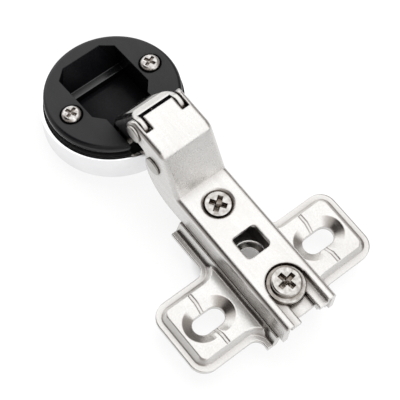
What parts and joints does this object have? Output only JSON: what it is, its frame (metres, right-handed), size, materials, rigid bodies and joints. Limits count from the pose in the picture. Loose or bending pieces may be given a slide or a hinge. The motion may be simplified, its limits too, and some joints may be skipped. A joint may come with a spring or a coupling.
{
  "type": "glass door hinge",
  "caption": "Concealed cup hinge for a glass door: screw-on mounting plate, cranked sliding arm, nested links and a plastic cup whose chrome cap clamps the glass.",
  "frame": {"origin": "midway between the two plate slots, on the mounting plane", "axes": "+X along the arm towards the cup, +Y across the arm along the line of the slots, +Z out of the mounting plane"},
  "size_m": [0.0882, 0.051, 0.0298],
  "materials": {
    "nickel_plate": "bright nickel plating on pressed sheet",
    "nickel_arm": "bright nickel plating on folded sheet",
    "nickel_link": "bright nickel plating on folded sheet",
    "nickel_screw": "bright nickel plating",
    "pin_steel": "plain bright steel",
    "spring_steel": "oiled spring wire",
    "cup_plastic": "satin black moulded plastic",
    "soft_ring": "soft black",
    "cap_chrome": "mirror chrome plating"
  },
  "bodies": {
    "plate": {"mounting_plate": "nickel_plate"},
    "fixing_screw": {"fixing_screw": "nickel_screw"},
    "arm": {"hinge_arm": "nickel_arm", "front_arm_pin": "pin_steel", "rear_arm_pin": "pin_steel", "closing_spring": "spring_steel"},
    "adjusting_screw": {"adjusting_screw": "nickel_screw"},
    "outer_link": {"outer_link": "nickel_link"},
    "cup": {"cup_body": "cup_plastic", "cup_screws": "nickel_screw", "flange_gasket": "soft_ring", "cover_cap": "cap_chrome", "cap_gasket": "soft_ring", "outer_link_pins": "pin_steel", "inner_link_pin": "pin_steel"},
    "inner_link": {"inner_link": "nickel_link"}
  },
  "joints": [
    {"name": "fixing_screw_turn", "type": "hinge", "parent": "plate", "child": "fixing_screw", "pos_m": [-0.006, 0, 0.01], "axis": [0, 0, 1], "range_deg": [0, 180]},
    {"name": "arm_slide", "type": "slide", "parent": "plate", "child": "arm", "axis": [1, 0, 0], "range_m": [0, 0.003]},
    {"name": "adjusting_screw_turn", "type": "hinge", "parent": "arm", "child": "adjusting_screw", "pos_m": [0.0176, 0, 0.01], "axis": [0, 0, 1], "range_deg": [-180, 180]},
    {"name": "outer_link_swing", "type": "hinge", "parent": "arm", "child": "outer_link", "pos_m": [0.039, 0, 0.021], "axis": [0, -1, 0], "range_deg": [-28.89, 0]},
    {"name": "cup_turn", "type": "hinge", "parent": "outer_link", "child": "cup", "pos_m": [0.04701, 0, 0.00603], "axis": [0, -1, 0], "range_deg": [0, 127.3]},
    {"name": "inner_link_swing", "type": "hinge", "parent": "cup", "child": "inner_link", "pos_m": [0.04401, 0, 0.00627], "axis": [0, -1, 0], "range_deg": [-124.55, 0]}
  ],
  "couplings": [
    {"joint": "outer_link_swing", "follows": "cup_turn", "ratio": -0.22699},
    {"joint": "inner_link_swing", "follows": "cup_turn", "ratio": -0.9784}
  ]
}
